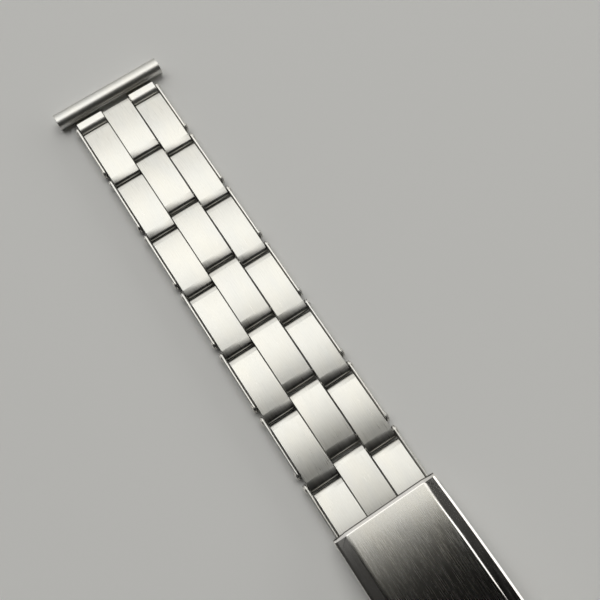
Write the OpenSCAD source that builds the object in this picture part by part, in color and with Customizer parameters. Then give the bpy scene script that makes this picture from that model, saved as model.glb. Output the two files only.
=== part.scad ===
// Rivet link watch bracelet, laid flat and straight with its clasp closed.
// Length runs along X, width along Y and the face of the strap looks up, along +Z.
// The twelve o'clock end is at -X. The origin is under the middle of the whole length.

/* [Strap] */
// Distance from one row of links to the next
link_pitch = 11.8; // [11.4:0.1:13]
// Rows of links on the twelve o'clock side of the clasp
upper_rows = 7; // [3:1:8]
// Rows of links on the six o'clock side of the clasp
lower_rows = 5; // [3:1:5]
// Width over the two side plates
strap_w = 16; // [15.4:0.1:16.4]
// Width of the centre link
centre_w = 5.1; // [4:0.1:6]
// Gap between pieces that lie side by side
side_gap = 0.12; // [0.08:0.01:0.2]
// Thickness of the folded sheet links
link_t = 2.1; // [2:0.05:2.3]
// Thickness of a side plate
plate_t = 0.45; // [0.35:0.05:0.6]
// Height of a side plate
plate_h = 1.65; // [1.4:0.05:1.9]
// Distance between the two rivets of one row
rivet_span = 9.3; // [8.9:0.05:9.35]
// Diameter of the rivet shank
rivet_d = 1; // [0.8:0.05:1.1]
// Diameter of the rivet head
rivet_head_d = 1.6; // [1.4:0.05:1.7]
// Height of the domed rivet head
rivet_head_h = 0.3; // [0.2:0.05:0.4]
// Radial clearance between a pin and the sheet rolled round it
pin_clear = 0.05; // [0.02:0.01:0.08]
// Gap between a knuckle and the nose of the next outer link
nose_gap = 0.13; // [0.1:0.01:0.3]
// Radius of the bend where a link's face rolls down
roll_r = 1.6; // [1.3:0.05:1.7]
// Width of the butt seam under a folded link
seam_w = 0.15; // [0.1:0.05:0.3]

/* [End tubes] */
// Length of the tube, which is the gap between the watch lugs
lug_width = 20; // [18:1:22]
// Outer diameter of the tube
tube_d = 2.8; // [2.6:0.1:3]
// Bore of the tube for the spring bar
tube_bore_d = 2; // [1.8:0.05:2.1]
// Distance from the first rivet to the tube's axis
tube_reach = 3.63; // [3.2:0.01:4.2]
// Thickness of the tabs that join the tube to the first rivet
tab_t = 0.45; // [0.4:0.05:0.6]

/* [Clasp] */
// Radius that the blades are curved to, for the wrist
wrist_r = 80; // [75:1:95]
// Distance from the strap's spring bar to the pin of the six o'clock side
clasp_span = 37; // [36:0.5:38]
// Distance from the spring bar to the top of the clasp's curve
crown_reach = 16.5; // [16:0.1:17]
// Distance that the cover's lip reaches past the spring bar
lip_lap = 4; // [3.6:0.1:4.2]
// Distance that the cover's side walls reach past the spring bar
wall_lap = 2.2; // [1.8:0.1:2.3]
// Gap between the cover's end and the knuckles of the six o'clock side
cover_end_gap = 0.45; // [0.35:0.05:0.8]
// Distance that the cover stands out past the strap at each side
cover_over = 0.6; // [0.4:0.05:0.8]
// Height of the cover's top above the inner face of the bottom blade
cover_h = 3.8; // [3.7:0.05:4.2]
// Thickness of the cover's sheet
cover_t = 0.7; // [0.6:0.05:0.75]
// Width of the polished bevel, seen from above
bevel_w = 2; // [1.4:0.1:2.4]
// Height that the bevel falls
bevel_drop = 0.9; // [0.6:0.1:1.1]
// Length of the small bevel on the front lip
lip_l = 0.8; // [0.4:0.1:1.2]
// Depth of the small bevel on the front lip
lip_drop = 0.3; // [0.1:0.05:0.5]
// Pairs of adjusting holes for the spring bar
hole_count = 3; // [1:1:3]
// Distance between adjusting holes
hole_step = 2.5; // [2.2:0.1:2.6]
// Thickness of each blade
blade_t = 0.8; // [0.6:0.05:0.85]
// Gap between the two folded blades
blade_gap = 0.2; // [0.15:0.05:0.3]
// Distance from the cover's side to the edge of the blades
blade_inset = 2.1; // [1.6:0.1:3]
// Gap between the cover's hinge barrel and the bottom blade
barrel_gap = 0.1; // [0.08:0.01:0.15]
// Outer diameter of the blades' hinge barrels
barrel_d = 2; // [1.8:0.05:2.05]
// Distance between the two hinges of the blades
blade_span = 25; // [23:0.5:25.5]
// Distance from the cover's hinge to the end of the cover
hinge_inset = 2.6; // [2.4:0.1:3.4]
// Width of the middle knuckle where the blades meet
knuckle_w = 6.8; // [5:0.2:8]
// Thickness of the catch's leaf
catch_t = 0.4; // [0.3:0.05:0.45]
// Width of the catch
catch_w = 5; // [3:0.5:6]
// Gap between the catch and the barrel that it holds
catch_gap = 0.1; // [0.08:0.01:0.2]

/* [Spring bar] */
// Diameter of the spring bar's tube
bar_d = 1; // [0.8:0.05:1.05]
// Distance that a tip ends short of the cover's side
nib_inset = 0.1; // [0.05:0.05:0.2]
// Gap between a tip's collar and the cover's wall
collar_gap = 0.2; // [0.1:0.05:0.4]
// Diameter of the sliding tip's rod
tip_rod_d = 0.56; // [0.4:0.02:0.6]
// Diameter of the tip where it enters the cover
tip_nib_d = 0.66; // [0.5:0.02:0.7]
// Distance that a tip slides in
tip_travel = 0.75; // [0.7:0.05:0.8]

/* [Hidden] */
$fn = 96;
row_count = upper_rows + lower_rows;
pin_r = rivet_d / 2;
link_r = link_t / 2;
pin_z = link_r;
hollow_r = pin_r + pin_clear;
plate_r = plate_h / 2;
plate_in = strap_w / 2 - plate_t;
outer_in = centre_w / 2 + side_gap;
outer_out = plate_in - side_gap;
nose_x = 2 * link_r + nose_gap;
seam_x = rivet_span / 2;
tube_rise = tube_d / 2 - link_r;

// Places along X, from the twelve o'clock end tube to the six o'clock one
end_reach = tube_reach + tube_d / 2;
total_l = 2 * end_reach + row_count * link_pitch + clasp_span;
upper_pin_x = end_reach - total_l / 2;
bar_x = upper_pin_x + upper_rows * link_pitch;
strap_pin_x = bar_x + clasp_span;

// The clasp is measured by its angle round one centre and its level above the bottom blade
bar_level = 0.4;
cover_in = cover_h - cover_t;
mid_level = blade_t + blade_gap;
barrel_r = barrel_d / 2;
hinge_level = blade_t + barrel_r + barrel_gap;
fold_level = barrel_r;
function turn(length) = length / wrist_r * 180 / PI;
cover_w = strap_w + 2 * cover_over;
blade_w = cover_w - 2 * blade_inset;
end_angle = asin((clasp_span - crown_reach - link_r - cover_end_gap) / (wrist_r + cover_h));
wall_angle = asin((crown_reach + wall_lap) / (wrist_r + cover_h));
lip_angle = asin((crown_reach + lip_lap) / (wrist_r + cover_h));
lip_skirt = 0.4;
lip_level = cover_in - lip_skirt;
bar_angle = -asin(crown_reach / (wrist_r + bar_level));
clasp_x = bar_x + crown_reach;
clasp_z = pin_z - (wrist_r + bar_level) * cos(bar_angle);
hinge_angle = end_angle - turn(hinge_inset);
fold_angle = hinge_angle - turn(blade_span);
notch_gap = 0.2;
strap_pin_angle = asin((strap_pin_x - clasp_x) / (wrist_r + blade_t));
sheet_lift = 0.05;
wall_low = -0.25;
floor_gap = 0.2;
wall_in = cover_w / 2 - cover_t;
knuckle_y = cover_w / 2 - bevel_w;
bevel_angle = atan(bevel_drop / bevel_w);
collar_l = 0.3;
collar_y = wall_in - collar_gap - collar_l;
bar_l = 2 * (collar_y - tip_travel - pin_clear);

steel = [0.78, 0.77, 0.75];
bright_steel = [0.86, 0.86, 0.85];
dark_steel = [0.6, 0.6, 0.6];

// Extrudes a side view, drawn as X and Z, across the strap from y0 to y1
module across(y0, y1) {
    translate([0, y1, 0])
        rotate([90, 0, 0])
            linear_extrude(y1 - y0)
                children();
}

module both_sides() {
    children();
    mirror([0, 1, 0])
        children();
}

// Turns children round from the upper half's direction for the lower half
module at_row(row) {
    if (row <= upper_rows) {
        translate([upper_pin_x + (row - 1) * link_pitch, 0, pin_z])
            children();
    } else {
        translate([strap_pin_x + (row - upper_rows) * link_pitch, 0, pin_z])
            mirror([1, 0, 0])
                children();
    }
}

module stadium(x0, x1, r) {
    translate([x0, 0])
        circle(r);
    translate([x1, 0])
        circle(r);
    translate([x0, -r])
        square([x1 - x0, 2 * r]);
}

// Side view of a link folded from sheet: a round nose, and a face that rolls down at the pin
module folded_profile(x_nose, x_roll) {
    difference() {
        intersection() {
            stadium(x_nose, x_roll, link_r);
            union() {
                translate([x_nose - link_t, -link_t])
                    square([x_roll + link_r - roll_r - x_nose + link_t, 2 * link_t]);
                translate([x_roll + link_r - roll_r, link_r - roll_r])
                    circle(roll_r);
            }
        }
        stadium(x_nose, x_roll, hollow_r);
        translate([seam_x, -link_t])
            square([seam_w, link_t - hollow_r / 2]);
    }
}

module centre_link(row) {
    color(steel)
        at_row(row)
            across(-centre_w / 2, centre_w / 2)
                folded_profile(0, rivet_span);
}

module outer_links(row) {
    color(steel)
        at_row(row)
            both_sides()
                across(outer_in, outer_out)
                    folded_profile(nose_x, link_pitch);
}

module side_plates(row) {
    color(bright_steel)
        at_row(row)
            both_sides()
                across(plate_in, strap_w / 2)
                    difference() {
                        stadium(0, rivet_span, plate_r);
                        for (x = [0, rivet_span])
                            translate([x, 0])
                                circle(hollow_r);
                    }
}

// Half section of a pin with a domed head at each end, drawn as radius and length
module headed_pin(shank_l, shank_r, head_r, head_h) {
    dome_r = (head_r * head_r + head_h * head_h) / (2 * head_h);
    rotate([90, 0, 0])
        rotate_extrude() {
            translate([0, -shank_l / 2])
                square([shank_r, shank_l]);
            for (side = [0, 1])
                mirror([0, side])
                    intersection() {
                        translate([0, shank_l / 2 + head_h - dome_r])
                            circle(dome_r);
                        translate([0, shank_l / 2])
                            square([head_r, head_h]);
                    }
        }
}

module rivets(row) {
    color(bright_steel)
        at_row(row)
            for (x = [0, rivet_span])
                translate([x, 0, 0])
                    headed_pin(strap_w, pin_r, rivet_head_d / 2, rivet_head_h);
}

module end_tube() {
    difference() {
        union() {
            translate([-tube_reach, 0, tube_rise])
                across(-lug_width / 2, lug_width / 2)
                    circle(tube_d / 2);
            both_sides()
                across(outer_in, outer_out) {
                    circle(link_r);
                    translate([-tube_reach, -link_r])
                        square([tube_reach, tab_t]);
                }
        }
        across(-lug_width, lug_width) {
            circle(hollow_r);
            translate([-tube_reach, tube_rise])
                circle(tube_bore_d / 2);
        }
    }
}

module end_tube_upper() {
    color(steel)
        at_row(1)
            end_tube();
}

module end_tube_lower() {
    color(steel)
        at_row(row_count)
            end_tube();
}

// Sweeps a section, drawn as radius and Y, round the clasp's centre between two angles
module swept(a0, a1) {
    translate([clasp_x, 0, clasp_z])
        rotate([-90, 0, 0])
            rotate([0, 0, a0 - 90])
                rotate_extrude(angle = a1 - a0)
                    children();
}

module band(level0, level1, half_w) {
    translate([wrist_r + level0, -half_w])
        square([level1 - level0, 2 * half_w]);
}

// Puts children at an angle and level of the clasp, with local Z pointing away from the wrist
module at_angle(angle, level) {
    translate([
        clasp_x + (wrist_r + level) * sin(angle),
        0,
        clasp_z + (wrist_r + level) * cos(angle)
    ])
        rotate([0, angle, 0])
            children();
}

module cylinder_across(r, y0, y1) {
    across(y0, y1)
        circle(r);
}

// Channel section of the cover with a flat top and two bevels
module cover_section() {
    half = cover_w / 2;
    top = wrist_r + cover_h;
    low = wrist_r + wall_low;
    inner_top_y = half - bevel_w - cover_t * tan(bevel_angle / 2);
    inner_side = top - bevel_drop - cover_t * tan(45 - bevel_angle / 2);
    difference() {
        polygon([
            [low, -half],
            [top - bevel_drop, -half],
            [top, -half + bevel_w],
            [top, half - bevel_w],
            [top - bevel_drop, half],
            [low, half]
        ]);
        polygon([
            [low - cover_t, -wall_in],
            [inner_side, -wall_in],
            [top - cover_t, -inner_top_y],
            [top - cover_t, inner_top_y],
            [inner_side, wall_in],
            [low - cover_t, wall_in]
        ]);
    }
}

module clasp_cover() {
    color(bright_steel)
        difference() {
            swept(-lip_angle, end_angle)
                cover_section();
            swept(-lip_angle - turn(lip_l), -wall_angle)
                band(wall_low - lip_l, lip_level, cover_w);
            at_angle(-lip_angle, cover_h)
                across(-cover_w, cover_w)
                    polygon([
                        [-lip_l, lip_l],
                        [lip_l, lip_l],
                        [lip_l, 0],
                        [-lip_l, -2 * lip_drop]
                    ]);
            for (hole = [0 : hole_count - 1])
                at_angle(bar_angle + hole * turn(hole_step), bar_level)
                    cylinder_across(tip_nib_d / 2 + pin_clear, -cover_w, cover_w);
            at_angle(hinge_angle, hinge_level)
                cylinder_across(hollow_r, -cover_w, cover_w);
            translate([clasp_x - clasp_span, -cover_w, floor_gap - cover_w])
                cube([2 * clasp_span, 2 * cover_w, cover_w]);
        }
}

module catch_spring() {
    leg_angle = fold_angle - turn(barrel_r + catch_gap + catch_t / 2);
    color(steel) {
        swept(leg_angle - turn(catch_t / 2), fold_angle + turn(2 * barrel_r))
            band(cover_in - catch_t, cover_in, catch_w / 2);
        at_angle(leg_angle, fold_level)
            translate([-catch_t / 2, -catch_w / 2, -barrel_r / 2])
                cube([catch_t, catch_w, cover_in - fold_level + barrel_r / 2 - catch_t / 2]);
    }
}

// Curved sheet of one blade, at full width
module blade_sheet(level, a0, a1) {
    swept(a0, a1)
        band(level, level + blade_t, blade_w / 2);
}

// Round notch that a hinge's other knuckles turn in
module notch(angle, level, r, y0, y1) {
    at_angle(angle, level)
        cylinder_across(r + notch_gap, y0, y1);
}

module middle_blade() {
    color(steel)
        difference() {
            union() {
                difference() {
                    blade_sheet(mid_level, fold_angle, hinge_angle);
                    both_sides()
                        notch(fold_angle, fold_level, barrel_r, knuckle_w / 2, cover_w);
                }
                at_angle(fold_angle, fold_level)
                    cylinder_across(barrel_r, -knuckle_w / 2, knuckle_w / 2);
                at_angle(hinge_angle, hinge_level)
                    cylinder_across(barrel_r, -knuckle_y, knuckle_y);
            }
            at_angle(fold_angle, fold_level)
                cylinder_across(hollow_r, -cover_w, cover_w);
            at_angle(hinge_angle, hinge_level)
                cylinder_across(hollow_r, -cover_w, cover_w);
        }
}

module bottom_blade() {
    fork_y = knuckle_w / 2 + side_gap;
    color(steel)
        difference() {
            union() {
                difference() {
                    blade_sheet(0, fold_angle, strap_pin_angle);
                    notch(fold_angle, fold_level, barrel_r, -fork_y, fork_y);
                    both_sides()
                        translate([strap_pin_x, 0, pin_z])
                            cylinder_across(link_r + notch_gap, centre_w / 2, cover_w);
                    translate([strap_pin_x - clasp_span, -cover_w, sheet_lift - cover_w])
                        cube([2 * clasp_span, 2 * cover_w, cover_w]);
                }
                both_sides()
                    at_angle(fold_angle, fold_level)
                        cylinder_across(barrel_r, fork_y, blade_w / 2);
                translate([strap_pin_x, 0, pin_z])
                    cylinder_across(link_r, -centre_w / 2, centre_w / 2);
            }
            at_angle(fold_angle, fold_level)
                cylinder_across(hollow_r, -cover_w, cover_w);
            translate([strap_pin_x, 0, pin_z])
                cylinder_across(hollow_r, -cover_w, cover_w);
        }
}

module clasp_hinge_pins() {
    color(dark_steel) {
        at_angle(hinge_angle, hinge_level)
            cylinder_across(pin_r, -cover_w / 2, cover_w / 2);
        at_angle(fold_angle, fold_level)
            cylinder_across(pin_r, -blade_w / 2, blade_w / 2);
    }
}

module strap_end_pin() {
    color(dark_steel)
        translate([strap_pin_x, 0, pin_z])
            headed_pin(2 * outer_out, pin_r, rivet_head_d / 2, rivet_head_h);
}

module spring_bar_tube() {
    color(dark_steel)
        translate([bar_x, 0, pin_z])
            across(-bar_l / 2, bar_l / 2)
                difference() {
                    circle(bar_d / 2);
                    circle(tip_rod_d / 2 + pin_clear);
                }
}

// Rod, collar and nib of one tip, on the +Y side
module spring_bar_tip() {
    nib_end = cover_w / 2 - nib_inset;
    translate([bar_x, 0, pin_z]) {
        cylinder_across(tip_rod_d / 2, collar_y - 4 * tip_travel, collar_y);
        cylinder_across(bar_d / 2, collar_y, collar_y + collar_l);
        cylinder_across(tip_nib_d / 2, collar_y + collar_l, nib_end);
    }
}

module spring_bar_tip_left() {
    color(bright_steel)
        mirror([0, 1, 0])
            spring_bar_tip();
}

module spring_bar_tip_right() {
    color(bright_steel)
        spring_bar_tip();
}

end_tube_upper();
end_tube_lower();
for (row = [1 : row_count]) {
    centre_link(row);
    outer_links(row);
    side_plates(row);
    rivets(row);
}
clasp_cover();
catch_spring();
middle_blade();
bottom_blade();
clasp_hinge_pins();
strap_end_pin();
spring_bar_tube();
spring_bar_tip_left();
spring_bar_tip_right();
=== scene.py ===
# Looks, light and camera for the rivet link watch bracelet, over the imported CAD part.
import math

import bmesh
import bpy
from mathutils import Matrix, Vector


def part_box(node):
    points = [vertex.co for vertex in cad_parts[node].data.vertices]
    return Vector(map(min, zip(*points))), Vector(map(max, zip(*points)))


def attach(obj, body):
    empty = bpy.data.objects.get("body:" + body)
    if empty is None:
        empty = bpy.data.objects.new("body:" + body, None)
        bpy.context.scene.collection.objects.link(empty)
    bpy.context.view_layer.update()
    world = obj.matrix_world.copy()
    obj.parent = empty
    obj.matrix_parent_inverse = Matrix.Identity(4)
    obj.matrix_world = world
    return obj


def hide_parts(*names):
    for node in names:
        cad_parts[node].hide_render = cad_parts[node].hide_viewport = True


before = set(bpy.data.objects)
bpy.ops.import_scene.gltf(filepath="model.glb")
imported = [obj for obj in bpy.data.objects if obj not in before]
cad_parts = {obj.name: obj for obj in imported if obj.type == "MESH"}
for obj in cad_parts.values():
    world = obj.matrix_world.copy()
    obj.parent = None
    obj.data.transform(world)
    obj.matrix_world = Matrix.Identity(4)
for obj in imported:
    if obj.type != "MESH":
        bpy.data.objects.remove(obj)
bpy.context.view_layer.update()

mm = 0.001
print("frame loaded, nodes:", len(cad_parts))

closeBy = 0.000001    # m, corners this near are joined
hairline = 0.0000001  # m, edges shorter than this are dropped

# small helpers


def addNode(tree, kind, inputs=None, **settings):
    made = tree.nodes.new(kind)
    for key, value in settings.items():
        setattr(made, key, value)
    for key, value in (inputs or {}).items():
        if isinstance(value, bpy.types.NodeSocket):
            tree.links.new(value, made.inputs[key])
        else:
            made.inputs[key].default_value = value
    return made


def sums(tree, operation, first, second=0.0):
    return addNode(tree, "ShaderNodeMath", {0: first, 1: second}, operation=operation).outputs[0]


def plus(tree, first, second):
    return sums(tree, "ADD", first, second)


def minus(tree, first, second):
    return sums(tree, "SUBTRACT", first, second)


def times(tree, first, second):
    return sums(tree, "MULTIPLY", first, second)


def spot(tree, x=0.0, y=0.0, z=0.0):
    return addNode(tree, "ShaderNodeCombineXYZ", {0: x, 1: y, 2: z}).outputs[0]


def newTree(name, inputs):
    tree = bpy.data.node_groups.new(name, "GeometryNodeTree")
    kinds = {float: "NodeSocketFloat", int: "NodeSocketInt", str: "NodeSocketMaterial"}
    tree.interface.new_socket("Geometry", in_out="INPUT", socket_type="NodeSocketGeometry")
    for label, value in inputs.items():
        made = tree.interface.new_socket(label, in_out="INPUT", socket_type=kinds[type(value)])
        if not isinstance(value, str):
            made.default_value = value
    tree.interface.new_socket("Geometry", in_out="OUTPUT", socket_type="NodeSocketGeometry")
    return tree, tree.nodes.new("NodeGroupInput").outputs


def grown(tree, name, sizes):
    # runs one tree with its inputs and gives the result as a plain mesh object
    made = bpy.data.objects.new(name, bpy.data.meshes.new(name))
    bpy.context.scene.collection.objects.link(made)
    maker = made.modifiers.new("maker", "NODES")
    maker.node_group = tree
    for item in tree.interface.items_tree:
        if item.item_type == "SOCKET" and item.in_out == "INPUT" and item.name in sizes:
            maker[item.identifier] = sizes[item.name]
    return settled(made)


def settled(made):
    # the evaluated shape becomes the object's own mesh and its modifiers go
    bpy.context.view_layer.update()
    depsgraph = bpy.context.evaluated_depsgraph_get()
    shape = made.evaluated_get(depsgraph)
    plain = bpy.data.meshes.new_from_object(shape, preserve_all_data_layers=True, depsgraph=depsgraph)
    made.modifiers.clear()
    made.data = plain
    plain.name = made.name
    return made


def closedUp(made, flat=0.0):
    # joins doubled corners, and neighbours that turn less than flat degrees, and points the faces outwards
    shape = bmesh.new()
    shape.from_mesh(made.data)
    bmesh.ops.remove_doubles(shape, verts=shape.verts, dist=2 * closeBy)
    bmesh.ops.dissolve_degenerate(shape, edges=shape.edges, dist=hairline)
    if flat:
        bmesh.ops.dissolve_limit(shape, angle_limit=math.radians(flat), verts=shape.verts,
                                 edges=shape.edges, delimit={"MATERIAL"})
    bmesh.ops.recalc_face_normals(shape, faces=shape.faces)
    for face in shape.faces:
        face.smooth = True
    shape.to_mesh(made.data)
    shape.free()
    return made


def softened(made, width, steps=2, turn=35, crisp=None, byWeight=False):
    # breaks edges that turn more than this many degrees by a width in mm, and keeps the broad faces flat
    if crisp:
        made.data.set_sharp_from_angle(angle=math.radians(crisp))
    edge = made.modifiers.new("edge", "BEVEL")
    edge.width = width * mm
    edge.segments = steps
    edge.limit_method = "WEIGHT" if byWeight else "ANGLE"
    edge.angle_limit = math.radians(turn)
    edge.use_clamp_overlap = False
    even = made.modifiers.new("even", "WEIGHTED_NORMAL")
    even.keep_sharp = crisp is not None
    return settled(made)


def cadCopy(node, name):
    made = bpy.data.objects.new(name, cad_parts[node].data.copy())
    made.data.name = name
    made.data.materials.clear()
    bpy.context.scene.collection.objects.link(made)
    if made.data.has_custom_normals:
        bpy.context.view_layer.objects.active = made
        with bpy.context.temp_override(object=made, active_object=made):
            bpy.ops.mesh.customdata_custom_splitnormals_clear()
    return closedUp(made, flat=0.3)


def seat(made, body, slotName, *nodes):
    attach(made, body)
    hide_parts(*nodes)


# finishes
# streak and tone: how far the brush lines change the roughness and the colour
# pull: how far brushing stretches the highlights
# lean: degrees that the light meets the surface leaned by, at one distance from the bracelet's middle and at
# another, then those distances in metres
finishes = {
    "linkSatin": {"colour": (0.565, 0.563, 0.54), "rough": 0.33, "streak": 0.06, "pull": 0.7, "tone": 0.09,
                  "bump": 0.3, "lean": (-4, 0, 0.012, 0.02)},
    "plateBright": {"colour": (0.66, 0.655, 0.63), "rough": 0.33, "streak": 0.02, "pull": 0, "tone": 0.03,
                    "bump": 0.03, "lean": None},
    "rivetBright": {"colour": (0.68, 0.67, 0.65), "rough": 0.2, "streak": 0.04, "pull": 0, "tone": 0.05,
                    "bump": 0.06, "lean": None},
    "tubeSatin": {"colour": (0.7, 0.7, 0.675), "rough": 0.42, "streak": 0.04, "pull": 0.2, "tone": 0.05,
                  "bump": 0.1, "lean": (0, -12, 0.0908, 0.0916)},
    "coverBrushed": {"colour": (0.53, 0.523, 0.497), "rough": 0.25, "streak": 0.06, "pull": 0.7, "tone": 0.1,
                     "bump": 0.12, "lean": (9.5, 9.5, 0, 1)},
    # painted shade: a near-black colour on the cover's end faces that stands in for the shadow line where
    # the lip overhangs the links
    "coverPaintedShade": {"colour": (0.17, 0.166, 0.158), "rough": 0.4, "streak": 0.05, "pull": 0, "tone": 0.1,
                  "bump": 0.1, "lean": None},
    # polished edges and lip: the low roughness is the real polish, and the colour, lighter than the brushed
    # top, is partly a painted highlight standing in for the bright light on the lip
    "coverPolishedWithPaintedHighlight": {"colour": (0.78, 0.767, 0.75), "rough": 0.12, "streak": 0.03, "pull": 0, "tone": 0.04,
                      "bump": 0.03, "lean": None},
    "coverInside": {"colour": (0.5, 0.49, 0.47), "rough": 0.42, "streak": 0.06, "pull": 0.3, "tone": 0.12,
                    "bump": 0.2, "lean": None},
    "bladeSatin": {"colour": (0.55, 0.545, 0.53), "rough": 0.34, "streak": 0.06, "pull": 0.5, "tone": 0.1,
                   "bump": 0.2, "lean": None},
    "pinDrawn": {"colour": (0.5, 0.495, 0.48), "rough": 0.26, "streak": 0.05, "pull": 0, "tone": 0.08,
                 "bump": 0.08, "lean": None},
}
grain = {
    "lines": (420, 7500, 420),           # brush lines per metre along X, Y and Z: they run lengthwise
    "patches": (160, 420, 160),          # the same for the soft patches
    "patchTint": (0.05, 0.035, 0.005),   # how much redder, greener and bluer a patch is
    "noiseRange": (0.3, 0.7),            # the part of the noise that is used
    "across": (0.05, 1.0, 0.02),         # direction across the brush lines
    "depth": 0.004,                      # mm
}
steels = {}
for title, look in finishes.items():
    steel = bpy.data.materials.new(title)
    steel.use_nodes = True
    tree = steel.node_tree
    shader = tree.nodes["Principled BSDF"]
    place = addNode(tree, "ShaderNodeTexCoord").outputs["Object"]
    low, high = grain["noiseRange"]
    noises = []
    for scale, detail in ((grain["lines"], 4.0), (grain["patches"], 2.0)):
        stretched = addNode(tree, "ShaderNodeMapping", {"Vector": place, "Scale": scale}).outputs[0]
        noise = addNode(tree, "ShaderNodeTexNoise", {"Vector": stretched, "Scale": 1.0, "Detail": detail})
        noises.append(noise.outputs["Fac"])
    lineTones = [[channel * (1 + step * look["tone"]) for channel in look["colour"]] for step in (-1, 1)]
    patchTones = [[1, 1, 1], [1 + tint for tint in grain["patchTint"]]]
    tones = []
    for noise, colours in zip(noises, (lineTones, patchTones)):
        share = addNode(tree, "ShaderNodeMapRange", {"Value": noise, "From Min": low, "From Max": high})
        tone = addNode(tree, "ShaderNodeMix", {0: share.outputs[0]}, data_type="VECTOR")
        ends = [socket for socket in tone.inputs if socket.identifier in ("A_Vector", "B_Vector")]
        for socket, colour in zip(ends, colours):
            socket.default_value = colour
        tones.append([socket for socket in tone.outputs if socket.identifier == "Result_Vector"][0])
    tinted = addNode(tree, "ShaderNodeVectorMath", {0: tones[0], 1: tones[1]}, operation="MULTIPLY")
    tree.links.new(tinted.outputs[0], shader.inputs["Base Color"])
    roughness = addNode(tree, "ShaderNodeMapRange", {
        "Value": noises[0], "From Min": low, "From Max": high,
        "To Min": look["rough"] - look["streak"], "To Max": look["rough"] + look["streak"]})
    tree.links.new(roughness.outputs[0], shader.inputs["Roughness"])
    bump = addNode(tree, "ShaderNodeBump", {"Height": noises[0], "Strength": look["bump"],
                                            "Distance": grain["depth"] * mm})
    if look["lean"]:
        close, far, closeAt, farAt = look["lean"]
        along = sums(tree, "ABSOLUTE", addNode(tree, "ShaderNodeSeparateXYZ", {0: place}).outputs["X"])
        climb = addNode(tree, "ShaderNodeMapRange", {
            "Value": along, "From Min": closeAt, "From Max": farAt,
            "To Min": math.tan(math.radians(close)), "To Max": math.tan(math.radians(far))})
        forward = addNode(tree, "ShaderNodeVectorTransform", {"Vector": spot(tree, climb.outputs[0])},
                          vector_type="VECTOR", convert_from="OBJECT", convert_to="WORLD")
        outward = addNode(tree, "ShaderNodeNewGeometry").outputs["Normal"]
        leaned = addNode(tree, "ShaderNodeVectorMath", {0: outward, 1: forward.outputs[0]}, operation="ADD")
        level = addNode(tree, "ShaderNodeVectorMath", {0: leaned.outputs[0]}, operation="NORMALIZE")
        tree.links.new(level.outputs[0], bump.inputs["Normal"])
    tree.links.new(bump.outputs[0], shader.inputs["Normal"])
    shader.inputs["Metallic"].default_value = 1.0
    shader.inputs["Anisotropic"].default_value = look["pull"]
    if look["pull"]:
        # brushing spreads a highlight across its lines, so the tangent points across the strap
        across = addNode(tree, "ShaderNodeVectorTransform", {"Vector": grain["across"]},
                         vector_type="VECTOR", convert_from="OBJECT", convert_to="WORLD")
        tree.links.new(across.outputs[0], shader.inputs["Tangent"])
    steels[title] = steel
print("finishes made:", len(steels))

# sizes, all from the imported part's own boxes and corners
plateBox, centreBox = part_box("side_plates_1"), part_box("centre_link_1")
outerBox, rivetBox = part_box("outer_links_1"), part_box("rivets_1")


def innerEdge(node):
    return min(abs(v.co.y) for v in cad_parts[node].data.vertices)


plateRadius = (plateBox[1].z - plateBox[0].z) / 2
pinHeight = (plateBox[1].z + plateBox[0].z) / 2
firstPin = plateBox[0].x + plateRadius
rivetSpan = plateBox[1].x - plateRadius - firstPin
linkRadius = (centreBox[1].z - centreBox[0].z) / 2
outerNose = outerBox[0].x + linkRadius - firstPin
linkPitch = outerBox[1].x - linkRadius - firstPin
outerIn, outerOut = innerEdge("outer_links_1"), outerBox[1].y
plateIn, plateOut = innerEdge("side_plates_1"), plateBox[1].y
headRadius = firstPin - rivetBox[0].x
headHeight = rivetBox[1].y - plateOut

quarter, half = math.pi / 2, math.pi  # parts of a turn
upright = (quarter, 0.0, 0.0)         # turns what is drawn flat to stand along the strap

# links folded from sheet
foldedSheet = {
    "hollowRadius": 0.55,    # mm, inside of the folded sheet
    "seamWidth": 0.15,       # mm, butt seam underneath
    "crownTilt": 4.5,        # degrees that a face's two ends lean away from its middle
    "crease": 6.5,           # degrees of the faint crease where the face meets its nose
    "slopeRadius": 15,       # mm, the nose first slopes down gently on this radius
    "slopeEnd": 13,          # to this many degrees
    "noseRound": 0.55,       # mm, and then turns down on this one
    "shoulderRadius": 7,     # the same three for the rolled end
    "shoulderEnd": 13.5,
    "rollRound": 0.7,
    "outerTrim": 0.12,       # mm, an outer link's rolled end stops this much short
    "sidePlay": 0.05,        # mm, a centre link sits this far off the middle
    "edgeBreak": 0.09,       # mm
    "arcSteps": 14,
}


def moved(tree, geometry, place=(0.0, 0.0, 0.0), turn=(0.0, 0.0, 0.0)):
    return addNode(tree, "GeometryNodeTransform", {
        "Geometry": geometry, "Translation": place, "Rotation": turn}).outputs[0]


def joined(tree, shapes):
    join = addNode(tree, "GeometryNodeJoinGeometry")
    for shape in reversed(shapes):  # the last one linked comes first
        tree.links.new(shape, join.inputs[0])
    return join.outputs[0]


def welded(tree, geometry):
    return addNode(tree, "GeometryNodeMergeByDistance", {
        "Geometry": geometry, "Distance": closeBy}).outputs[0]


def circle(tree, steps, radius):
    return addNode(tree, "GeometryNodeCurvePrimitiveCircle", {
        "Resolution": steps, "Radius": radius}, mode="RADIUS").outputs[0]


def filled(tree, curve, mode="NGONS"):
    return addNode(tree, "GeometryNodeFillCurve", {"Curve": curve}, mode=mode).outputs[0]


def pointsOf(tree, curve):
    return addNode(tree, "GeometryNodeCurveToPoints", {"Curve": curve}, mode="EVALUATED").outputs["Points"]


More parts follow.
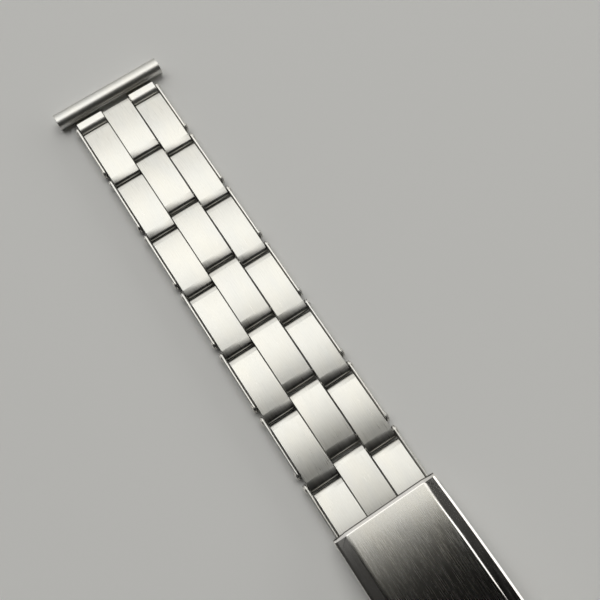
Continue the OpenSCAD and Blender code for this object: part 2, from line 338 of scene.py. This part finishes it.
def arcPoints(tree, x, y, radius, start, sweep, steps):
    arc = addNode(tree, "GeometryNodeCurveArc", {
        "Resolution": steps, "Radius": radius, "Start Angle": start, "Sweep Angle": sweep}, mode="RADIUS")
    return pointsOf(tree, moved(tree, arc.outputs["Curve"], spot(tree, x, y)))


def linePoints(tree, start, end):
    line = addNode(tree, "GeometryNodeCurvePrimitiveLine", {"Start": start, "End": end})
    return pointsOf(tree, line.outputs[0])


def openOutline(tree, parts):
    # one curve through the parts, in their order
    points = welded(tree, joined(tree, parts))
    return addNode(tree, "GeometryNodePointsToCurves", {"Points": points}).outputs[0]


def closedOutline(tree, parts):
    return addNode(tree, "GeometryNodeSetSplineCyclic", {
        "Geometry": openOutline(tree, parts), "Cyclic": True}).outputs[0]


def pushedOut(tree, face, depth):
    # a flat face becomes a closed block that reaches from 0 to depth along Z
    push = addNode(tree, "GeometryNodeExtrudeMesh", {
        "Mesh": face, "Offset": (0.0, 0.0, 1.0), "Offset Scale": depth, "Individual": False}, mode="FACES")
    back = addNode(tree, "GeometryNodeFlipFaces", {"Mesh": face})
    return welded(tree, joined(tree, [back.outputs[0], push.outputs["Mesh"]]))


def onLine(tree, geometry, count, start, step):
    line = addNode(tree, "GeometryNodeMeshLine", {"Count": count, "Start Location": start, "Offset": step})
    copies = addNode(tree, "GeometryNodeInstanceOnPoints", {"Points": line.outputs[0], "Instance": geometry})
    return copies.outputs[0]


def acrossStrap(tree, given, face, count, shift=0.0):
    # a face drawn from the side gets its width, and a second copy lies opposite the first, across the middle
    block = pushedOut(tree, face, minus(tree, given["Outer Y"], given["Inner Y"]))
    step = times(tree, plus(tree, given["Outer Y"], given["Inner Y"]), -1.0)
    start = minus(tree, given["Outer Y"], shift)
    standing = moved(tree, block, turn=upright)
    return onLine(tree, standing, count, spot(tree, 0.0, start), spot(tree, 0.0, step))


def finishTree(tree, given, geometry):
    # the piece is turned and moved to its place in the bracelet, made real and given its finish
    place = spot(tree, given["Row X"], 0.0, given["Pin Height"])
    turned = moved(tree, geometry, place, spot(tree, 0.0, 0.0, given["Turn"]))
    real = addNode(tree, "GeometryNodeRealizeInstances", {"Geometry": turned}).outputs[0]
    dressed = addNode(tree, "GeometryNodeSetMaterial", {"Geometry": real, "Material": given["Finish"]})
    tree.links.new(dressed.outputs[0], tree.nodes.new("NodeGroupOutput").inputs[0])


def foldedLinkTree():
    tree, given = newTree("foldedLink", {
        "Link Radius": 0.001, "Hollow Radius": 0.0005, "Nose X": 0.0, "Roll X": 0.009, "Seam X": 0.004,
        "Seam Width": 0.0001, "Inner Y": 0.0, "Outer Y": 0.002, "Count": 1, "Side Play": 0.0,
        "Crown Tilt": 0.08, "Crease": 0.1, "Slope Radius": 0.005, "Slope End": 0.35, "Nose Round": 0.0005,
        "Shoulder Radius": 0.009, "Shoulder End": 0.28, "Roll Round": 0.0007,
        "Row X": 0.0, "Pin Height": 0.001, "Turn": 0.0, "Arc Steps": 14, "Finish": ""})
    radius, hollow, steps = given["Link Radius"], given["Hollow Radius"], given["Arc Steps"]
    nose, end, tilt = given["Nose X"], given["Roll X"], given["Crown Tilt"]
    shoulder, shoulderEnd, rollRound = given["Shoulder Radius"], given["Shoulder End"], given["Roll Round"]
    slope, slopeEnd, noseRound = given["Slope Radius"], given["Slope End"], given["Nose Round"]
    # along the link, the rolled end: a gentle shoulder, then a turn down on a small radius
    spread = minus(tree, shoulder, rollRound)
    rollX = minus(tree, plus(tree, end, radius), rollRound)
    shoulderX = minus(tree, rollX, times(tree, spread, sums(tree, "SINE", shoulderEnd)))
    faceEnd = plus(tree, shoulderX, times(tree, shoulder, sums(tree, "SINE", tilt)))
    # along the link, the nose: a faint crease, a gentle slope, then a turn down
    lean = plus(tree, tilt, given["Crease"])
    between = minus(tree, slope, noseRound)
    turnX = plus(tree, minus(tree, nose, radius), noseRound)
    slopeX = plus(tree, turnX, times(tree, between, sums(tree, "SINE", slopeEnd)))
    faceStart = minus(tree, slopeX, times(tree, slope, sums(tree, "SINE", lean)))
    # between the two the face is bowed a little, and its middle keeps the link's full height
    halfFace = times(tree, minus(tree, faceEnd, faceStart), 0.5)
    faceMiddle = plus(tree, faceStart, halfFace)
    bow = sums(tree, "DIVIDE", halfFace, sums(tree, "SINE", tilt))
    bowCentre = minus(tree, radius, bow)
    # the heights of shoulder, slope and turns follow from the face's ends
    faceEdge = plus(tree, bowCentre, times(tree, bow, sums(tree, "COSINE", tilt)))
    shoulderY = minus(tree, faceEdge, times(tree, shoulder, sums(tree, "COSINE", tilt)))
    rollY = plus(tree, shoulderY, times(tree, spread, sums(tree, "COSINE", shoulderEnd)))
    slopeY = minus(tree, faceEdge, times(tree, slope, sums(tree, "COSINE", lean)))
    turnY = plus(tree, slopeY, times(tree, between, sums(tree, "COSINE", slopeEnd)))
    under = times(tree, radius, -1.0)
    inside = times(tree, hollow, -1.0)
    seamEnd = plus(tree, given["Seam X"], given["Seam Width"])
    parts = [
        arcPoints(tree, end, 0.0, radius, -quarter, quarter, steps),
        arcPoints(tree, rollX, rollY, rollRound, 0.0, minus(tree, quarter, shoulderEnd), steps),
        arcPoints(tree, shoulderX, shoulderY, shoulder,
                  minus(tree, quarter, shoulderEnd), minus(tree, shoulderEnd, tilt), steps),
        arcPoints(tree, faceMiddle, bowCentre, bow,
                  minus(tree, quarter, tilt), times(tree, tilt, 2.0), steps),
        arcPoints(tree, slopeX, slopeY, slope,
                  plus(tree, lean, quarter), minus(tree, slopeEnd, lean), steps),
        arcPoints(tree, turnX, turnY, noseRound,
                  plus(tree, slopeEnd, quarter), minus(tree, quarter, slopeEnd), steps),
        arcPoints(tree, nose, 0.0, radius, half, quarter, steps),
        linePoints(tree, spot(tree, given["Seam X"], under), spot(tree, given["Seam X"], inside)),
        arcPoints(tree, nose, 0.0, hollow, -quarter, -half, steps),
        arcPoints(tree, end, 0.0, hollow, quarter, -half, steps),
        linePoints(tree, spot(tree, seamEnd, inside), spot(tree, seamEnd, under)),
    ]
    face = filled(tree, closedOutline(tree, parts))
    finishTree(tree, given, acrossStrap(tree, given, face, given["Count"], given["Side Play"]))
    return tree


# side plates
sidePlate = {"holeRadius": 0.55, "edgeBreak": 0.18, "arcSteps": 16, "holeSteps": 24}  # mm


def sidePlateTree():
    tree, given = newTree("sidePlate", {
        "Plate Radius": 0.0008, "Rivet Span": 0.009, "Hole Radius": 0.0005, "Inner Y": 0.0075,
        "Outer Y": 0.008, "Row X": 0.0, "Pin Height": 0.001, "Turn": 0.0, "Arc Steps": 16, "Hole Steps": 24,
        "Finish": ""})
    steps = given["Arc Steps"]
    rim = closedOutline(tree, [
        arcPoints(tree, given["Rivet Span"], 0.0, given["Plate Radius"], -quarter, half, steps),
        arcPoints(tree, 0.0, 0.0, given["Plate Radius"], quarter, half, steps)])
    hole = circle(tree, given["Hole Steps"], given["Hole Radius"])
    far = moved(tree, hole, spot(tree, given["Rivet Span"]))
    face = filled(tree, joined(tree, [far, hole, rim]), "TRIANGLES")
    finishTree(tree, given, acrossStrap(tree, given, face, 2))
    return tree


# rivets
rivet = {"shankRadius": 0.5, "headStep": 0.02, "arcSteps": 10, "round": 28}  # mm


def headedPinTree():
    tree, given = newTree("headedPin", {
        "Length": 0.016, "Shank Radius": 0.0005, "Head Radius": 0.0008, "Head Height": 0.0003,
        "Head Step": 0.00002, "Count": 2, "Spacing": 0.009, "Row X": 0.0, "Pin Height": 0.001, "Turn": 0.0,
        "Arc Steps": 8, "Round": 24, "Finish": ""})
    head, height, steps = given["Head Radius"], given["Head Height"], given["Arc Steps"]
    side = times(tree, given["Length"], 0.5)
    squares = plus(tree, times(tree, head, head), times(tree, height, height))
    dome = sums(tree, "DIVIDE", squares, times(tree, height, 2.0))
    middle = minus(tree, plus(tree, side, height), dome)
    spread = sums(tree, "ARCSINE", sums(tree, "DIVIDE", head, dome))
    neck = minus(tree, side, given["Head Step"])
    # drawn with X as the radius and Y as the place along the pin
    parts = [
        arcPoints(tree, 0.0, middle, dome, quarter, times(tree, spread, -1.0), steps),
        linePoints(tree, spot(tree, given["Shank Radius"], neck),
                   spot(tree, given["Shank Radius"], times(tree, neck, -1.0))),
        arcPoints(tree, 0.0, times(tree, middle, -1.0), dome, minus(tree, spread, quarter),
                  times(tree, spread, -1.0), steps),
    ]
    drawn = openOutline(tree, parts)
    where = addNode(tree, "GeometryNodeInputPosition").outputs[0]
    split = addNode(tree, "ShaderNodeSeparateXYZ", {0: where}).outputs
    sized = addNode(tree, "GeometryNodeSetCurveRadius", {"Curve": drawn, "Radius": split["X"]}).outputs[0]
    axis = addNode(tree, "GeometryNodeSetPosition", {
        "Geometry": sized, "Position": spot(tree, 0.0, split["Y"])})
    size = addNode(tree, "GeometryNodeInputRadius").outputs[0]
    turned = addNode(tree, "GeometryNodeCurveToMesh", {
        "Curve": axis.outputs[0], "Profile Curve": circle(tree, given["Round"], 1.0), "Scale": size,
        "Fill Caps": True}).outputs[0]
    row = onLine(tree, welded(tree, turned), given["Count"], spot(tree), spot(tree, given["Spacing"]))
    finishTree(tree, given, row)
    return tree


linkTree, plateTree, pinTree = foldedLinkTree(), sidePlateTree(), headedPinTree()
sheetSizes = {
    "Link Radius": linkRadius, "Hollow Radius": foldedSheet["hollowRadius"] * mm, "Seam X": rivetSpan / 2,
    "Seam Width": foldedSheet["seamWidth"] * mm, "Arc Steps": foldedSheet["arcSteps"],
    "Crown Tilt": math.radians(foldedSheet["crownTilt"]), "Crease": math.radians(foldedSheet["crease"]),
    "Slope Radius": foldedSheet["slopeRadius"] * mm, "Slope End": math.radians(foldedSheet["slopeEnd"]),
    "Nose Round": foldedSheet["noseRound"] * mm, "Shoulder Radius": foldedSheet["shoulderRadius"] * mm,
    "Shoulder End": math.radians(foldedSheet["shoulderEnd"]), "Roll Round": foldedSheet["rollRound"] * mm,
    "Finish": steels["linkSatin"],
}
centreSizes = {**sheetSizes, "Nose X": 0.0, "Roll X": rivetSpan, "Side Play": foldedSheet["sidePlay"] * mm,
               "Inner Y": centreBox[0].y, "Outer Y": centreBox[1].y, "Count": 1}
outerSizes = {**sheetSizes, "Nose X": outerNose, "Roll X": linkPitch - foldedSheet["outerTrim"] * mm,
              "Inner Y": outerIn, "Outer Y": outerOut, "Count": 2}
plateSizes = {
    "Plate Radius": plateRadius, "Rivet Span": rivetSpan, "Hole Radius": sidePlate["holeRadius"] * mm,
    "Inner Y": plateIn, "Outer Y": plateOut, "Arc Steps": sidePlate["arcSteps"],
    "Hole Steps": sidePlate["holeSteps"], "Finish": steels["plateBright"],
}
rivetSizes = {
    "Length": 2 * plateOut, "Shank Radius": rivet["shankRadius"] * mm, "Head Radius": headRadius,
    "Head Height": headHeight, "Head Step": rivet["headStep"] * mm, "Count": 2, "Spacing": rivetSpan,
    "Arc Steps": rivet["arcSteps"], "Round": rivet["round"], "Finish": steels["rivetBright"],
}
rowNumber, endPlaces = 1, {}
while f"centre_link_{rowNumber}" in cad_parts:
    row = str(rowNumber)
    rowLow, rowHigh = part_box("side_plates_" + row)
    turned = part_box("outer_links_" + row)[0].x < rowLow.x  # the outer links reach towards the clasp
    rowPlace = {"Row X": rowHigh.x - plateRadius if turned else rowLow.x + plateRadius,
                "Pin Height": pinHeight, "Turn": half if turned else 0.0}
    if turned or not endPlaces:  # the first row holds one end tube and the last row the other
        endPlaces["lower" if turned else "upper"] = rowPlace
    centre = grown(linkTree, "centreLink" + row, {**centreSizes, **rowPlace})
    outer = grown(linkTree, "outerLinks" + row, {**outerSizes, **rowPlace})
    plates = grown(plateTree, "sidePlates" + row, {**plateSizes, **rowPlace})
    rivets = grown(pinTree, "rivets" + row, {**rivetSizes, **rowPlace})
    for link in (centre, outer):
        softened(closedUp(link), foldedSheet["edgeBreak"])
    softened(closedUp(plates), sidePlate["edgeBreak"], steps=3)
    closedUp(rivets)
    body = "row_" + row
    seat(centre, body, "link_steel", "centre_link_" + row)
    seat(outer, body, "link_steel", "outer_links_" + row)
    seat(plates, body, "plate_steel", "side_plates_" + row)
    seat(rivets, body, "rivet_steel", "rivets_" + row)
    rowNumber += 1
print("rows of links made:", rowNumber - 1)

# end tubes
endTube = {
    "boreRadius": 1.0,    # mm
    "sheet": 0.45,        # mm, thickness of the two tabs
    "cutEnd": 0.97,       # mm, how far past the pin a tab's sheet ends
    "tabStart": 0.35,     # mm, where a tab leaves the tube, from the tube's axis
    "edgeBreak": 0.07,    # mm
    "arcSteps": 20, "round": 72,
}


def endTubeTree():
    tree, given = newTree("endTube", {
        "Tube Radius": 0.0014, "Bore Radius": 0.001, "Reach": 0.0036, "Rise": 0.0003, "Length": 0.02,
        "Link Radius": 0.001, "Hollow Radius": 0.0005, "Sheet": 0.0004, "Cut End": 0.001,
        "Tab Start": 0.0003, "Inner Y": 0.003, "Outer Y": 0.007, "Row X": 0.0, "Pin Height": 0.001,
        "Turn": 0.0, "Arc Steps": 20, "Round": 72, "Finish": ""})
    radius, hollow, steps = given["Link Radius"], given["Hollow Radius"], given["Arc Steps"]
    under = times(tree, radius, -1.0)
    floorTop = plus(tree, under, given["Sheet"])
    back = times(tree, given["Cut End"], -1.0)
    start = minus(tree, given["Tab Start"], given["Reach"])
    # a tab runs in under the pin, round it and back over it, and ends in a cut edge
    tab = closedOutline(tree, [
        linePoints(tree, spot(tree, start, floorTop), spot(tree, start, under)),
        arcPoints(tree, 0.0, 0.0, radius, -quarter, half, steps),
        linePoints(tree, spot(tree, back, radius), spot(tree, back, hollow)),
        arcPoints(tree, 0.0, 0.0, hollow, quarter, -half, steps),
        linePoints(tree, spot(tree, times(tree, hollow, -0.5), floorTop),
                   spot(tree, times(tree, hollow, -1.0), floorTop)),
    ])
    tabs = acrossStrap(tree, given, filled(tree, tab), 2)
    rims = [circle(tree, given["Round"], given[size]) for size in ("Bore Radius", "Tube Radius")]
    tube = pushedOut(tree, filled(tree, joined(tree, rims)), given["Length"])
    place = spot(tree, times(tree, given["Reach"], -1.0), times(tree, given["Length"], 0.5), given["Rise"])
    finishTree(tree, given, joined(tree, [moved(tree, tube, place, upright), tabs]))
    return tree


tubeTree = endTubeTree()
for end, place in endPlaces.items():
    tubeLow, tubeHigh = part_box("end_tube_" + end)
    tubeRadius = (tubeHigh.z - tubeLow.z) / 2
    away = abs(place["Row X"] - (tubeHigh.x if place["Turn"] else tubeLow.x)) - tubeRadius
    tube = grown(tubeTree, "endTube" + end.title(), {
        "Tube Radius": tubeRadius, "Bore Radius": endTube["boreRadius"] * mm, "Reach": away,
        "Rise": tubeRadius - place["Pin Height"], "Length": tubeHigh.y - tubeLow.y,
        "Link Radius": linkRadius, "Inner Y": outerIn, "Outer Y": outerOut,
        "Hollow Radius": foldedSheet["hollowRadius"] * mm, "Sheet": endTube["sheet"] * mm,
        "Cut End": endTube["cutEnd"] * mm, "Tab Start": endTube["tabStart"] * mm,
        "Arc Steps": endTube["arcSteps"], "Round": endTube["round"], "Finish": steels["tubeSatin"], **place})
    softened(closedUp(tube), endTube["edgeBreak"])
    seat(tube, "end_tube_" + end, "tube_steel", "end_tube_" + end)
print("end tubes made")

# clasp
claspCover = {
    "bevelWidth": 2.0, "bevelSlope": 24.2,   # mm, degrees
    "facetWidth": 0.42, "facetDrop": 0.085,  # mm, a narrow steeper facet along each outer shoulder
    "lipLength": 0.72, "lipSlope": 32.6,     # mm, degrees from level: the lip goes on over both bevels
    "edgeBreak": 0.1,                        # mm, most edges
    "innerBreak": 0.26,                      # mm, where the bevels meet the top
    "endBreak": 0.3,                         # mm, along the top's two ends
    "breakFrom": 20,                         # degrees, an edge that turns less stays as it is
    "shadeLineReach": 1.0,                         # mm, end faces this near the ends get the painted shade, a dark colour standing in for the shadow line at the lip
    "near": 0.05,                            # mm, a corner this near a line counts as on it
}
# the parts of a face's normal that tell the cover's sides apart
coverSides = {
    "facetUp": 0.8, "bevelUp": 0.7, "bevelAcross": 0.3, "endAlong": 0.8, "overEndUp": 0.6,
    "topUp": 0.85, "topAcross": (-0.4, 0.12), "topAlong": 0.3, "insideUp": -0.3, "cutAlong": 0.6,
}


def cutAcross(shape, point, outward, clear=False):
    # cuts the mesh by a plane, clears what lies beyond it if asked, and gives the cut's edges
    every = shape.verts[:] + shape.edges[:] + shape.faces[:]
    cut = bmesh.ops.bisect_plane(shape, geom=every, dist=hairline, plane_co=point, plane_no=outward,
                                 clear_outer=clear)
    return [item for item in cut["geom_cut"] if isinstance(item, bmesh.types.BMEdge)]


coverLow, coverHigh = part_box("clasp_cover")
flatHalf = coverHigh.y - claspCover["bevelWidth"] * mm
facetStart = coverHigh.y - claspCover["facetWidth"] * mm
lipEnd = coverLow.x + claspCover["lipLength"] * mm
near = claspCover["near"] * mm
cover = cadCopy("clasp_cover", "claspCover")
shape = bmesh.new()
shape.from_mesh(cover.data)
for side in (-1, 1):
    cutAcross(shape, (0, side * facetStart, 0), (0, 1, 0))
onLip = [corner for corner in shape.verts if corner.co.x < lipEnd and abs(corner.co.y) < flatHalf + near]
lipTop = max(corner.co.z for corner in onLip)
lipSlope, bevelSlope = math.radians(claspCover["lipSlope"]), math.radians(claspCover["bevelSlope"])
upLip = Vector((math.cos(lipSlope), 0, math.sin(lipSlope)))
for side in (-1, 1):
    downBevel = Vector((0, side * math.cos(bevelSlope), -math.sin(bevelSlope)))
    rim = cutAcross(shape, (lipEnd, side * flatHalf, lipTop), upLip.cross(downBevel) * side, clear=True)
    bmesh.ops.edgeloop_fill(shape, edges=rim)
for corner in shape.verts:
    onBevel = any(face.normal.z > coverSides["facetUp"] and abs(face.normal.y) > coverSides["bevelAcross"]
                  for face in corner.link_faces)
    if onBevel and abs(corner.co.y) > coverHigh.y - near:
        corner.co.z -= claspCover["facetDrop"] * mm
shape.normal_update()
weights = shape.edges.layers.float.new("bevel_weight_edge")
for edge in shape.edges:
    if len(edge.link_faces) == 2 and edge.calc_face_angle() > math.radians(claspCover["breakFrom"]):
        lower, upper = sorted(edge.link_faces, key=lambda face: face.normal.z)
        atEnd = abs(lower.normal.x) > coverSides["endAlong"] and upper.normal.z > coverSides["overEndUp"]
        atTop = lower.normal.z > coverSides["bevelUp"] and abs(lower.normal.y) > coverSides["bevelAcross"]
        width = claspCover["endBreak" if atEnd else "innerBreak" if atTop else "edgeBreak"]
        edge[weights] = width / claspCover["endBreak"]
shape.to_mesh(cover.data)
shape.free()
softened(cover, claspCover["endBreak"], steps=4, crisp=8, byWeight=True)
coverLooks = ["coverPolishedWithPaintedHighlight", "coverBrushed", "coverInside", "coverPaintedShade"]
for title in coverLooks:
    cover.data.materials.append(steels[title])
leftMost, rightMost = coverSides["topAcross"]
for face in cover.data.polygons:
    middle, out = face.center, face.normal
    onFlat = abs(middle.y) < flatHalf + claspCover["innerBreak"] * mm and abs(out.x) < coverSides["topAlong"]
    atCut = min(middle.x - coverLow.x, coverHigh.x - middle.x) < claspCover["shadeLineReach"] * mm
    if onFlat and out.z > coverSides["topUp"] and leftMost < out.y < rightMost:
        face.material_index = coverLooks.index("coverBrushed")
    elif out.z < coverSides["insideUp"] or out.y * middle.y < -hairline:
        face.material_index = coverLooks.index("coverInside")
    # end faces near the cover's ends get the painted shade, a dark colour standing in for the shadow line at
    # the lip
    elif atCut and abs(out.x) > coverSides["cutAlong"]:
        face.material_index = coverLooks.index("coverPaintedShade")
seat(cover, "clasp", "cover_steel", "clasp_cover")

# node, object, body, finish, slot, edge break in mm
innerPieces = (
    ("catch_spring", "catchSpring", "clasp", "bladeSatin", "blade_steel", 0.05),
    ("middle_blade", "middleBlade", "middle_blade", "bladeSatin", "blade_steel", 0.07),
    ("bottom_blade", "bottomBlade", "bottom_blade", "bladeSatin", "blade_steel", 0.07),
    ("clasp_hinge_pins", "claspHingePins", "middle_blade", "pinDrawn", "pin_steel", 0.05),
    ("strap_end_pin", "strapEndPin", "bottom_blade", "pinDrawn", "pin_steel", 0.03),
    ("spring_bar_tube", "springBarTube", "clasp", "pinDrawn", "pin_steel", 0.03),
    ("spring_bar_tip_left", "springBarTipLeft", "spring_bar_tip_left", "pinDrawn", "pin_steel", 0.03),
    ("spring_bar_tip_right", "springBarTipRight", "spring_bar_tip_right", "pinDrawn", "pin_steel", 0.03),
)
for node, name, body, title, slotName, width in innerPieces:
    piece = softened(cadCopy(node, name), width)
    piece.data.materials.append(steels[title])
    seat(piece, body, slotName, node)
print("clasp made")

# floor, light and camera
studio = {
    "floorColour": (0.84, 0.84, 0.83), "floorRough": 0.9,
    "floorSize": 6.0, "floorDrop": 0.05,  # m, mm under the links
    "skyLean": 75,  # degrees from straight above to the sky's bright pole, over the twelve o'clock end
    # nearness to that pole from 0 to 1, then the sky's colour there
    "skyStops": ((0.02, (0.27, 0.262, 0.245)), (0.2, (0.022, 0.021, 0.018)), (0.55, (0.022, 0.021, 0.018)),
                 (0.6, (0.13, 0.127, 0.115)), (0.63, (0.3, 0.295, 0.275)), (0.71, (0.5, 0.493, 0.47)),
                 (0.787, (0.64, 0.633, 0.61)), (0.88, (0.65, 0.645, 0.625)), (0.98, (0.77, 0.765, 0.745))),
    "skySpread": 0.9,         # the sky is this much wider towards the twelve o'clock end
    "skySides": (0.1, 0.45),  # sideways, the sky dims between these two
    "skyDim": 0.1,            # to this share
    "lampPower": 4,           # watts for each square metre at a glow of 1
    "lampColour": (1.0, 0.995, 0.965),
}
# softboxes: lean from straight above and swing round in degrees, then distance, depth and width in metres
softboxes = {
    "keyBox": {"lean": 20, "swing": -25, "distance": 1.6, "depth": 0.7, "width": 2.0, "glow": 1.12},
    "fillBox": {"lean": 48, "swing": -12, "distance": 1.6, "depth": 0.9, "width": 2.0, "glow": 0.45},
    "sideBox": {"lean": 74, "swing": -90, "distance": 1.6, "depth": 0.5, "width": 2.4, "glow": 1.2},
}
bpy.ops.mesh.primitive_plane_add(size=studio["floorSize"], location=(0, 0, -studio["floorDrop"] * mm))
floor = bpy.context.object
floor.name = "floor"
floorPaint = bpy.data.materials.new("floorPaint")
floorPaint.use_nodes = True
floorShader = floorPaint.node_tree.nodes["Principled BSDF"]
floorShader.inputs["Base Color"].default_value = (*studio["floorColour"], 1)
floorShader.inputs["Roughness"].default_value = studio["floorRough"]
floor.data.materials.append(floorPaint)

for title, box in softboxes.items():
    lamp = bpy.data.lights.new(title, "AREA")
    lamp.shape, lamp.size, lamp.size_y = "RECTANGLE", box["depth"], box["width"]
    lamp.energy = box["glow"] * studio["lampPower"] * box["depth"] * box["width"]
    lamp.color = studio["lampColour"]
    softbox = bpy.data.objects.new(title, lamp)
    swing = Matrix.Rotation(math.radians(box["swing"]), 4, "Z")
    lean = Matrix.Rotation(-math.radians(box["lean"]), 4, "Y")
    softbox.matrix_world = swing @ lean @ Matrix.Translation((0, 0, box["distance"]))
    bpy.context.scene.collection.objects.link(softbox)

world = bpy.data.worlds.new("studio")
bpy.context.scene.world = world
world.use_nodes = True
sky = world.node_tree
skyLean = math.radians(studio["skyLean"])
heading = addNode(sky, "ShaderNodeTexCoord").outputs["Generated"]
pole = (-math.sin(skyLean), 0.0, math.cos(skyLean))
facing = addNode(sky, "ShaderNodeVectorMath", {0: heading, 1: pole}, operation="DOT_PRODUCT")
nearPole = times(sky, plus(sky, facing.outputs["Value"], 1.0), 0.5)
skyTones = addNode(sky, "ShaderNodeValToRGB", {0: nearPole})
stops = skyTones.color_ramp.elements
while len(stops) < len(studio["skyStops"]):
    stops.new(0.5)
for stop, (position, colour) in zip(stops, studio["skyStops"]):
    stop.position = position
    stop.color = (*colour, 1)
split = addNode(sky, "ShaderNodeSeparateXYZ", {0: heading}).outputs
offSide = plus(sky, sums(sky, "ABSOLUTE", split["Y"]), times(sky, split["X"], studio["skySpread"]))
dimming = addNode(sky, "ShaderNodeMapRange", {
    "Value": offSide, "From Min": studio["skySides"][0], "From Max": studio["skySides"][1],
    "To Min": 1.0, "To Max": studio["skyDim"]}, interpolation_type="SMOOTHSTEP")
narrowed = addNode(sky, "ShaderNodeVectorMath", {0: skyTones.outputs[0], 3: dimming.outputs[0]},
                   operation="SCALE")
sky.links.new(narrowed.outputs[0], sky.nodes["Background"].inputs[0])

shot = {
    "focal": 48.496, "sensor": 36,     # mm
    "nearest": 0.005, "farthest": 20,  # m
    # the picture's right, down and depth directions in the bracelet's frame
    "right": (0.544334, 0.837532, -0.047343),
    "down": (0.789412, -0.530517, -0.308839),
    "ahead": (-0.283779, 0.130738, -0.949935),
    "shift": (17.6006, 38.3214, 114.1504),  # mm, the part's origin seen from the camera
}
right, down, ahead = Vector(shot["right"]), Vector(shot["down"]), Vector(shot["ahead"])
eye = -(right * shot["shift"][0] + down * shot["shift"][1] + ahead * shot["shift"][2]) * mm
lens = bpy.data.cameras.new("camera")
lens.lens, lens.sensor_width = shot["focal"], shot["sensor"]
lens.clip_start, lens.clip_end = shot["nearest"], shot["farthest"]
camera = bpy.data.objects.new("camera", lens)
camera.matrix_world = Matrix.Translation(eye) @ Matrix((right, -down, -ahead)).transposed().to_4x4()
bpy.context.scene.collection.objects.link(camera)
bpy.context.scene.camera = camera
bpy.context.scene.view_settings.view_transform = "Standard"
print("floor, light and camera set")
